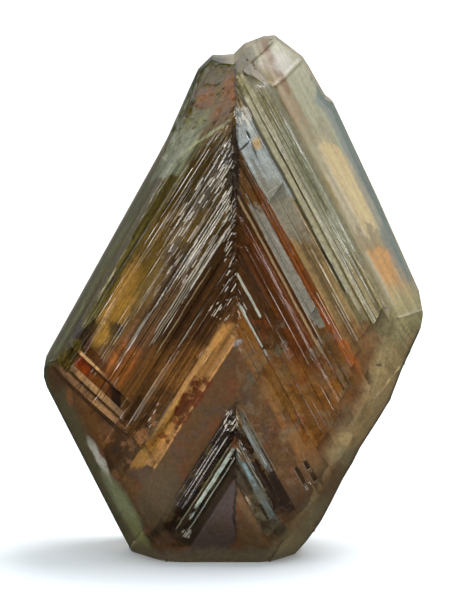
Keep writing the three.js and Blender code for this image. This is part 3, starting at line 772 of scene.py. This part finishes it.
# %% The head, the clear bevel and the back
CLEAR_FROM = 10.5  # mm, the bevels below it look like the face beside them
CLEAR_RIM = screen_colour(198, 190, 160)
OLIVE_RIM = stain(88, 82, 52)
BACK_PLATE = screen_colour(214, 198, 172)
BACK_SHADE = screen_colour(208, 178, 140)
BACK_ROUGHNESS = 0.5
RIM_CELLS = [(4.2, 0.22, 7.0), (9.0, 0.4, 19.0)]
BACK_CELLS = [(1.9, 0.09, 5.0), (4.7, 0.22, 13.0)]


def upper_rim(side, ground, roughness, lines):
    """The shader of the upper bevels of one individual, with how dark and how bright its fine lines are."""
    stone = Pattern(ground, side)
    stone.paint_bands(RIM_BANDS.get(side, {}).values(), screen_colour)
    stone.paint_patches(HEAD_PATCHES)
    stone.paint_outline(CLEAR_FROM)
    for kind in RIM_CELLS:
        stone.scale(*lines, stone.cells(*kind)["Tone"])
    stone.add_grain(*lines)
    return stone.finish(roughness)


def back_of_plate():
    """The shader of the back and of the upright sides."""
    stone = Pattern(BACK_PLATE)
    stone.paint(CLEAR_RIM, stone.mark("rim"))
    stone.paint(BACK_SHADE, stone.step(stone.shake["X"], -0.05, 0.2), 0.6)
    to_the_left = stone.step(stone.sum("MULTIPLY", stone.place["X"], -1.0), -0.2, 0.6)
    to_the_front = stone.step(stone.sum("MULTIPLY", stone.place["Y"], -1.0), -1.4, 0.4)
    stone.paint(OLIVE_RIM, stone.sum("MULTIPLY", to_the_left, to_the_front), 1.0, stone.mark("rim"))
    for kind, lines in zip(BACK_CELLS, ((0.85, 1.1), (0.9, 1.1))):
        stone.scale(*lines, stone.cells(*kind)["Tone"])
    stone.add_grain(0.9, 1.08)
    return stone.finish(BACK_ROUGHNESS)


upper_rims = [
    upper_rim("left", OLIVE_RIM, 0.35, (0.65, 1.35)), upper_rim("right", CLEAR_RIM, 0.5, (0.86, 1.14)),
]
back = back_of_plate()

# %% The five patterns in one stone
BODY_COLOUR = (0.84, 0.74, 0.58, 1)
BODY_DENSITY = 110.0  # to a metre
whole_stone = Tree(stone.node_tree)


def either(mark, if_not, if_so):
    """One shader where the mesh isn't marked, and another where it is."""
    marked = whole_stone.node("Attribute", {"attribute_name": mark}).outputs["Fac"]
    return whole_stone.node("MixShader", i0=marked, i1=if_not, i2=if_so).outputs[0]


in_front = either("upper_rim", either("right_side", *chevron_faces), either("right_side", *upper_rims))
body = whole_stone.node("VolumeAbsorption", Color=BODY_COLOUR, Density=BODY_DENSITY).outputs[0]
whole_stone.node("OutputMaterial", Surface=either("back", in_front, back), Volume=body)
print("stone:", len(stone.node_tree.nodes), "nodes")

# %% [markdown]
# ## The skin of the crystal
#
# The measured solid has the plate and its laths as flat faces. A copy of it is cut along many more chevron
# lines, and the new edges are pushed in by a few hundredths of a millimetre, which combs the faces as growth
# does. Cutting keeps every crisp edge of the solid, where a grid or a remesh would blur them.

# %% A closed copy of the solid
SAME_POINT = 1e-7  # m
FLAT = math.radians(0.2)


def middle_of(face):
    """The middle of a face in mm."""
    return face.calc_center_median() / MM


def with_edges(faces):
    """These faces with their edges and points."""
    return faces + list({e for f in faces for e in f.edges}) + list({v for f in faces for v in f.verts})


def open_edges():
    """How many edges of the skin don't join exactly two faces, which has to be none."""
    return sum(not edge.is_manifold for edge in skin.edges)


skin = bmesh.new()
skin.from_mesh(bpy.data.objects["crystal"].data)
bmesh.ops.remove_doubles(skin, verts=skin.verts, dist=SAME_POINT)
bmesh.ops.dissolve_limit(skin, angle_limit=FLAT, verts=skin.verts, edges=skin.edges)
print("closed copy:", len(skin.verts), "points,", len(skin.faces), "faces")

# %% Marking the bevels and the rim
# A bevel is a face that leans or stands and reaches down past the plateau. On the chevron face only the
# upper ones look different from the plate: further down the same brown skin runs over the edge. Cutting
# later keeps the mark.
RIM_FACING = 0.85
FRONT_FACING = -0.1
BEVEL_REACH = 0.95 * abs(FRONT_FLOOR)
rim = skin.faces.layers.float.new("rim")


def nearest_to_middle(face):
    """How near in mm a face comes to the middle of the plate's thickness."""
    return min(abs(v.co.y) for v in face.verts) / MM


bevels = set()
for face in skin.faces:
    middle = middle_of(face)
    is_bevel = abs(face.normal.y) < RIM_FACING and nearest_to_middle(face) < BEVEL_REACH
    if is_bevel and face.normal.y < FRONT_FACING:
        a, b = -face.normal.x / face.normal.y, -face.normal.z / face.normal.y
        bevels.add((round(a, 3), round(b, 3), round(middle.y - a * middle.x - b * middle.z, 3)))
    face[rim] = float(is_bevel and (face.normal.y > FRONT_FACING or middle.z > CLEAR_FROM))
bevels = sorted(bevels)  # each as a, b and c of its plane y = ax + bz + c, in mm
print("faces on the rim:", sum(f[rim] > 0 for f in skin.faces), "bevels in front:", len(bevels))

# %% The outline of the plate
# The upright faces of the rim, seen from the front, are the straight edges of the outline.
WALL_FACING = 0.05  # at most, towards the front or the back
WALL_REACH = 1.5  # mm from the middle of the plate
LYING = 0.999  # the foot and other level faces
outline = []
for face in skin.faces:
    is_wall = abs(face.normal.y) < WALL_FACING and abs(face.normal.z) < LYING
    if is_wall and nearest_to_middle(face) < WALL_REACH:
        corners = [Vector((v.co.x, v.co.z)) / MM for v in face.verts]
        outline.append(max(itertools.product(corners, corners), key=lambda ends: (ends[0] - ends[1]).length))
print("edges of the outline:", len(outline))


def distance_to_edge(points, start, end):
    """How far each of the points is from a straight edge."""
    along = np.array(end) - np.array(start)
    share = np.clip((points - np.array(start)) @ along / (along @ along), 0, 1)
    return np.linalg.norm(points - (np.array(start) + share[:, None] * along), axis=1)


# %% Reading the laths' edges
EDGE_MARGIN = 0.05  # mm from a lath's edge to the growth line beside it
SHORTEST_EDGE = 0.4  # mm
ALONG_LATH = 0.9995  # the cosine of the widest angle between an edge and its laths


def lath_edge_arm(edge):
    """The arm whose laths this edge of the solid runs along, or None."""
    start, end = [v.co / MM for v in edge.verts]
    arm = "left" if (start.x + end.x) / 2 < SEAM_X else "right"
    lath = Vector((ARM_SIGN[arm] * math.sin(ARM_TURN[arm]), 0, -math.cos(ARM_TURN[arm])))
    line = end - start
    is_along = line.length >= SHORTEST_EDGE and abs(line.normalized().dot(lath)) > ALONG_LATH
    return arm if is_along else None


edge_crowns = {arm: set() for arm in ARM_TURN}
for edge in skin.edges:
    arm = lath_edge_arm(edge)
    if arm:
        x, y, z = edge.verts[0].co / MM
        edge_crowns[arm].add(round(crown_of(x, z, arm), 2))
print("lath edges:", {arm: len(crowns) for arm, crowns in edge_crowns.items()})

# %% Where the growth lines run
CUT_SEED = 11
LINE_SPACING = (0.18, 0.75)  # mm between growth lines, measured on the seam
GROOVE_SHARE = 0.35  # of the lines
GROOVE_HALF_WIDTH = 0.06
RIDGE_DEPTH = 0.03  # mm, the deepest growth line
GROOVE_DEPTH = 0.05  # more
CROSS_SPACING = (0.5, 1.6)  # mm between the cuts across them
CROSS_RANGE = (-6, 24)  # mm up the seam
CROWN_RANGE = (2.0, 27.0)
rng = np.random.default_rng(CUT_SEED)


def steps_between(low, high, spacing):
    """Random steps from low to high."""
    count = int((high - low) / spacing[0])
    places = low + np.cumsum(rng.uniform(*spacing, count))
    return places[places < high]


def growth_profile(arm):
    """Rows of crown, depth in mm and groove mark, for every growth line of an arm."""
    rows = []
    for line in steps_between(*CROWN_RANGE, LINE_SPACING):
        depth = RIDGE_DEPTH * rng.uniform(0, 1)
        if rng.uniform() < GROOVE_SHARE:
            rows += [(line - GROOVE_HALF_WIDTH, depth, 0), (line + GROOVE_HALF_WIDTH, depth, 0)]
            rows += [(line, depth + GROOVE_DEPTH * rng.uniform(0.4, 1), rng.uniform(0.5, 1))]
        else:
            rows += [(line, depth, 0)]
    for edge_crown in edge_crowns[arm]:
        rows += [(edge_crown + side * EDGE_MARGIN, RIDGE_DEPTH * rng.uniform(0, 0.5), 0) for side in (-1, 1)]
    return np.array(sorted(rows))


profiles = {arm: growth_profile(arm) for arm in ARM_TURN}
print("growth lines:", {arm: len(rows) for arm, rows in profiles.items()})

# %% Cutting the growth lines
CUT_REACH = 2e-6  # m, a point nearer to the plane than this is on it


def cut(geometry, point, normal):
    """Cuts the faces along a plane and gives them back with the new ones."""
    made = bmesh.ops.bisect_plane(
        skin, geom=geometry, dist=CUT_REACH, plane_co=Vector(point) * MM, plane_no=Vector(normal),
    )
    return made["geom"]


cut(skin.verts[:] + skin.edges[:] + skin.faces[:], (SEAM_X, 0, 0), (1, 0, 0))
for arm, turn in ARM_TURN.items():
    sign = ARM_SIGN[arm]
    geometry = with_edges([f for f in skin.faces if (middle_of(f).x - SEAM_X) * sign > 0])
    for crown_height in profiles[arm][:, 0]:
        geometry = cut(geometry, (SEAM_X, 0, crown_height), (sign * math.cos(turn), 0, math.sin(turn)))
    for along in steps_between(*CROSS_RANGE, CROSS_SPACING):
        geometry = cut(geometry, (SEAM_X, 0, along), (-sign * math.sin(turn), 0, math.cos(turn)))

# %% Crumbs along the seam
# Where the two individuals meet, the laths are broken short and the seam is lined with tiny facets.
CRUMB_REACH = 0.5  # mm to each side of the seam
CRUMB_RANGE = (2, 21)  # mm up the seam
CRUMB_SPACING = (0.07, 0.2)
CRUMB_LEAN = 0.3
CRUMB_FACING = -0.3
crumbs = with_edges([
    f for f in skin.faces if abs(middle_of(f).x - SEAM_X) < CRUMB_REACH and f.normal.y < CRUMB_FACING
])
for seam_height in steps_between(*CRUMB_RANGE, CRUMB_SPACING):
    crumbs = cut(crumbs, (0, 0, seam_height), (rng.uniform(-CRUMB_LEAN, CRUMB_LEAN), 0, 1))
print("cut skin:", len(skin.verts), "points,", len(skin.faces), "faces")

# %% Cutting beside the bevels
# The edges between the bevels, and those they make with the face, are worn round. The faces beside them are
# cut fine, to be bent later.
EDGE_CUTS = (-0.6, -0.38, -0.2, -0.07, 0.07, 0.2, 0.38, 0.6)  # mm from the edge
EDGE_REACH = 0.9
LEAST_FOLD = 0.2  # how much two planes have to differ in slope


def depth_on(plane, place):
    """The y of a plane at this place."""
    a, b, c = plane
    return a * place.x + b * place.z + c


def faces_at_edge(pair, outwards, edge_at):
    """The faces beside the line where two planes meet, as long as both planes are near the surface there."""
    beside = []
    for face in skin.faces:
        middle = middle_of(face)
        if face.normal.y < FRONT_FACING and abs(outwards.dot(middle) - edge_at) < EDGE_REACH:
            if all(abs(middle.y - depth_on(plane, middle)) < EDGE_REACH for plane in pair):
                beside.append(face)
    return beside


for one, other in itertools.combinations(bevels + [(0, 0, FRONT_FLOOR)], 2):
    outwards = Vector((one[0] - other[0], 0, one[1] - other[1]))
    if outwards.length < LEAST_FOLD:
        continue
    edge_at = (other[2] - one[2]) / outwards.length
    outwards.normalize()
    geometry = with_edges(faces_at_edge((one, other), outwards, edge_at))
    for off in EDGE_CUTS if geometry else ():
        geometry = cut(geometry, outwards * (edge_at + off), outwards)
bmesh.ops.triangulate(skin, faces=skin.faces[:])
skin.normal_update()
print("with fine edges:", len(skin.verts), "points,", len(skin.faces), "faces")

# %% How far the edges give way
# Where two faces are nearly at the same depth, both give way, as in a smooth step from one to the other.
EDGE_ROUNDING = 0.9  # mm of depth over which two faces run into each other
MOST_NEARNESS = 1.5  # where several faces meet
ON_PLANE = 0.01  # mm
FRONT_FROM = -0.3  # mm, what lies further back keeps its shape
ROUND_FACING = 0.3  # and so do faces that look further back than this
IS_ROUNDED = 0.002  # mm
give = skin.verts.layers.float.new("give")


def rounding_at(place):
    """How far in mm a point gives way because another face is near it in depth."""
    gaps = [place.y - depth_on(plane, place) for plane in bevels]
    if min(abs(gap) for gap in gaps) < ON_PLANE:
        gaps = [gap for gap in gaps if abs(gap) >= ON_PLANE] + [place.y - FRONT_FLOOR]
    nearness = [min(1.0, max(0.0, 1 - gap / EDGE_ROUNDING)) for gap in gaps]
    return EDGE_ROUNDING / 4 * min(MOST_NEARNESS, sum(n * n for n in nearness))


for vert in skin.verts:
    if vert.co.y < FRONT_FROM * MM and vert.normal.y < ROUND_FACING:
        vert[give] = rounding_at(vert.co / MM)
print("rounded points:", sum(v[give] > IS_ROUNDED for v in skin.verts))

# %% [markdown]
# The edges of the laths are marked before anything moves. Outer edges are worn to narrow facets that glint,
# and inner ones are marked as crevices, which are painted dark as painted shade: the dark lines between the
# laths.

# %% Marking edges and crevices
SHARP = math.radians(14)
SHORT = 0.02  # mm
MARKS_FROM = -2.6  # mm, the marked edges are no further back than this
FLAT_FACING = 0.8
MOST_GIVE = 0.05  # mm, a rounder edge is neither worn nor dirty
crevice = skin.verts.layers.float.new("crevice")
worn = skin.verts.layers.float.new("worn")
for edge in skin.edges:
    is_sharp = edge.calc_length() >= SHORT * MM and edge.calc_face_angle(0) >= SHARP
    on_flat = any(abs(f.normal.y) >= FLAT_FACING for f in edge.link_faces)
    if is_sharp and on_flat and edge.verts[0].co.y <= MARKS_FROM * MM:
        for vert in edge.verts:
            if vert[give] < MOST_GIVE:
                vert[worn if edge.is_convex else crevice] = 1.0
print("worn points:", sum(v[worn] > 0 for v in skin.verts))
print("crevice points:", sum(v[crevice] > 0 for v in skin.verts))

# %% Rounding the edges of the bevels
for vert in skin.verts:
    vert.co.y += vert[give] * MM
print("deepest rounding, mm:", round(max(v[give] for v in skin.verts), 2))

# %% Pushing the growth lines in
WORN_DEPTH = 0.025
CRUMB_DEPTH = 0.08
CHIP_DEPTH = 0.008
GROOVE_SHADE = 0.8
LATH_MARGIN = 0.05  # mm from the plateau
LEAST_FACING = 0.4  # steeper faces stay as they are
RELIEF_BEHIND, RELIEF_ON_PLATEAU, RELIEF_ON_LATHS = 0.4, 0.1, 0.8
RELIEF = {  # elsewhere on the laths: crowns, heights, how strong the growth lines are
    "left": [
        ((5.7, 7.3), (1, 6), 0.08), ((3.6, 7.3), (1, 6.8), 0.3), ((14.6, 16.6), (8, 18), 1.5),
        ((17.6, 23), (9, 20), 0.3), ((16.6, 17.6), (8, 18), 0.6),
    ],
    "right": [
        ((3.6, 7.3), (1, 6.8), 0.3), ((16.6, 20.4), (9, 20), 0.35), ((20.4, 24), (9, 20), 0.7),
        ((9, 16.6), (4, 16), 0.6),
    ],
}


def relief_at(arm, crown_here, y, z):
    """How strong the growth lines are here, where 1 is their full depth."""
    if y > 0:
        return RELIEF_BEHIND
    if y > FRONT_FLOOR - LATH_MARGIN:
        return RELIEF_ON_PLATEAU
    for (low, high), (bottom, top), strength in RELIEF[arm]:
        if low < crown_here < high and bottom < z < top:
            return strength
    return RELIEF_ON_LATHS


for vert in skin.verts:
    if abs(vert.normal.y) < LEAST_FACING:
        continue
    x, y, z = vert.co / MM
    arm = "left" if x < SEAM_X else "right"
    crown_here = crown_of(x, z, arm)
    crowns, depths, grooves = profiles[arm].T
    depth = np.interp(crown_here, crowns, depths)
    inwards = WORN_DEPTH * vert[worn] + depth * relief_at(arm, crown_here, y, z)
    if y < FRONT_FLOOR - LATH_MARGIN or y > BACK_FLOOR + LATH_MARGIN:
        near_seam = max(0.0, 1 - abs(x - SEAM_X) / CRUMB_REACH)
        inwards += CRUMB_DEPTH * near_seam * rng.uniform(0, 1) + CHIP_DEPTH * rng.uniform(0, 1)
        # The grooves of the growth lines are marked for painted shade as well.
        vert[crevice] = max(vert[crevice], GROOVE_SHADE * np.interp(crown_here, crowns, grooves))
    vert.co.y -= math.copysign(inwards * MM, vert.normal.y)
print("open edges:", open_edges())

# %% What looks smooth
ROUND_UNDER = math.radians(30)
for face in skin.faces:
    face.smooth = any(v[give] > IS_ROUNDED for v in face.verts)
for edge in skin.edges:
    edge.smooth = edge.calc_face_angle(0) < ROUND_UNDER
print("smooth faces:", sum(f.smooth for f in skin.faces))

# %% The broken head
# A break has no flat faces. The faces of the knob are cut fine and shaken by noise.
HEAD_FOOT = 17.3  # mm, where the break starts
HEAD_CUTS = 5
HEAD_EDGE = 0.25  # mm, shorter edges aren't cut
HEAD_MARGIN = 0.05  # mm from the seam
HEAD_UNEVENNESS = 0.16  # mm
HEAD_NOISE = 1.6  # changes to a mm
ROUGH_OCTAVES = (0.6, 2.1, 5)  # roughness, step in size, count
LEAST_ROUGH = 0.6


def is_front_rim(face):
    """Whether a face belongs to the upper rim and looks to the front."""
    return face[rim] > 0 and face.normal.y < FRONT_FACING


head_faces = [f for f in skin.faces if is_front_rim(f) and middle_of(f).z > HEAD_FOOT]
head_faces = [f for f in head_faces if middle_of(f).x < SEAM_X]
head_edges = {e for f in head_faces for e in f.edges if e.calc_length() > HEAD_EDGE * MM}
bmesh.ops.subdivide_edges(skin, edges=list(head_edges), cuts=HEAD_CUTS, use_grid_fill=True)
bmesh.ops.triangulate(skin, faces=skin.faces[:])
for vert in skin.verts:
    x, y, z = vert.co / MM
    if z > HEAD_FOOT and x < SEAM_X - HEAD_MARGIN and all(is_front_rim(f) for f in vert.link_faces):
        rough = noise.fractal(Vector((x, y, z)) * HEAD_NOISE, *ROUGH_OCTAVES)
        vert.co.y += HEAD_UNEVENNESS * (LEAST_ROUGH + rough) * MM
print("with the head:", len(skin.verts), "points, open edges:", open_edges())

# %% A pattern for each face
BACK_FROM = -1.4  # mm, upright and rear faces further back than this belong to the back
marks = {name: skin.faces.layers.float.new(name) for name in ("right_side", "upper_rim", "back")}
for face in skin.faces:
    middle = middle_of(face)
    face[marks["right_side"]] = float(middle.x > SEAM_X)
    face[marks["upper_rim"]] = float(face[rim] > 0)
    face[marks["back"]] = float(face.normal.y > FRONT_FACING and middle.y > BACK_FROM)
print("marked faces:", {name: sum(f[mark] > 0 for f in skin.faces) for name, mark in marks.items()})

# %% The finished piece
mesh = bpy.data.meshes.new("crystal_skin")
skin.to_mesh(mesh)
skin.free()
spots = np.empty(len(mesh.vertices) * 3)
mesh.vertices.foreach_get("co", spots)
spots = spots.reshape(-1, 3)[:, (0, 2)] / MM
inset = np.min([distance_to_edge(spots, start, end) for start, end in outline], axis=0)
mesh.attributes.new("inset", "FLOAT", "POINT").data.foreach_set("value", inset)
print("deepest inset, mm:", round(float(inset.max()), 2))
mesh.materials.append(stone)
crystal_skin = bpy.data.objects.new("crystal_skin", mesh)
bpy.context.scene.collection.objects.link(crystal_skin)
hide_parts("crystal")
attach(crystal_skin, "root")
print("crystal_skin:", len(mesh.polygons), "faces")

# %% [markdown]
# ## Floor and light
#
# The crystal stands on a wide white table in soft light from all round, which is how small minerals are
# mostly shown. Its upright faces would mirror the table in front of them as a grey veil, which a
# photographer keeps off with a dark card. Here the table is left out of mirror images instead.

# %% The table
TABLE_RADIUS = 3.0  # m
TABLE_COLOUR = (0.9, 0.94, 0.97, 1)
TABLE_ROUGHNESS = 0.9
table = bmesh.new()
bmesh.ops.create_circle(table, cap_ends=True, radius=TABLE_RADIUS, segments=64)
table_mesh = bpy.data.meshes.new("table")
table.to_mesh(table_mesh)
table.free()
table_object = bpy.data.objects.new("table", table_mesh)
bpy.context.scene.collection.objects.link(table_object)
white = bpy.data.materials.new("white_table")
white.use_nodes = True
white_surface = white.node_tree.nodes["Principled BSDF"]
white_surface.inputs["Base Color"].default_value = TABLE_COLOUR
white_surface.inputs["Roughness"].default_value = TABLE_ROUGHNESS
table_mesh.materials.append(white)
table_object.visible_glossy = False
print("table:", TABLE_RADIUS, "m to its edge")

# %% The light
# The sky of the room is bright above the horizon and dark below it. Faces that lean up catch it and look
# silver.
SKY_COLOUR = (0.93, 0.97, 1.0, 1)
SKY_STEP = (0.05, 0.5)  # where it starts to brighten and where it is full, 0 at the horizon and 1 overhead
SKY_DARK, SKY_ADDED = 0.03, 0.95
LAMPS = {  # place and size in m, watts
    "overhead": ((0.1, 0.06, 0.3), 0.2, 0.9),
    "window left": ((-0.24, -0.22, 0.12), 0.06, 0.12),
    "window right": ((0.24, -0.24, 0.09), 0.06, 0.12),
}
world = bpy.data.worlds.new("studio")
bpy.context.scene.world = world
world.use_nodes = True
sky = Tree(world.node_tree)
direction = sky.node("SeparateXYZ", Vector=sky.node("TexCoord").outputs["Generated"]).outputs
strength = sky.sum("MULTIPLY_ADD", sky.step(direction["Z"], *SKY_STEP), SKY_ADDED, SKY_DARK)
background = sky.tree.nodes["Background"].inputs
sky.tree.links.new(strength, background["Strength"])
background["Color"].default_value = SKY_COLOUR

for name, (place, size, watts) in LAMPS.items():
    lamp = bpy.data.objects.new(name, bpy.data.lights.new(name, "AREA"))
    lamp.data.size = size
    lamp.data.energy = watts
    lamp.location = place
    lamp.rotation_euler = (lamp.location - LOOK_AT).to_track_quat("Z", "Y").to_euler()
    bpy.context.scene.collection.objects.link(lamp)
print("lamps:", len(LAMPS))

# %% How light is followed
scene = bpy.context.scene
scene.view_settings.view_transform = "Standard"
scene.cycles.use_denoising = True
scene.cycles.transmission_bounces = 7
scene.cycles.max_bounces = 9
print("bounces:", scene.cycles.max_bounces, "of which through glass:", scene.cycles.transmission_bounces)
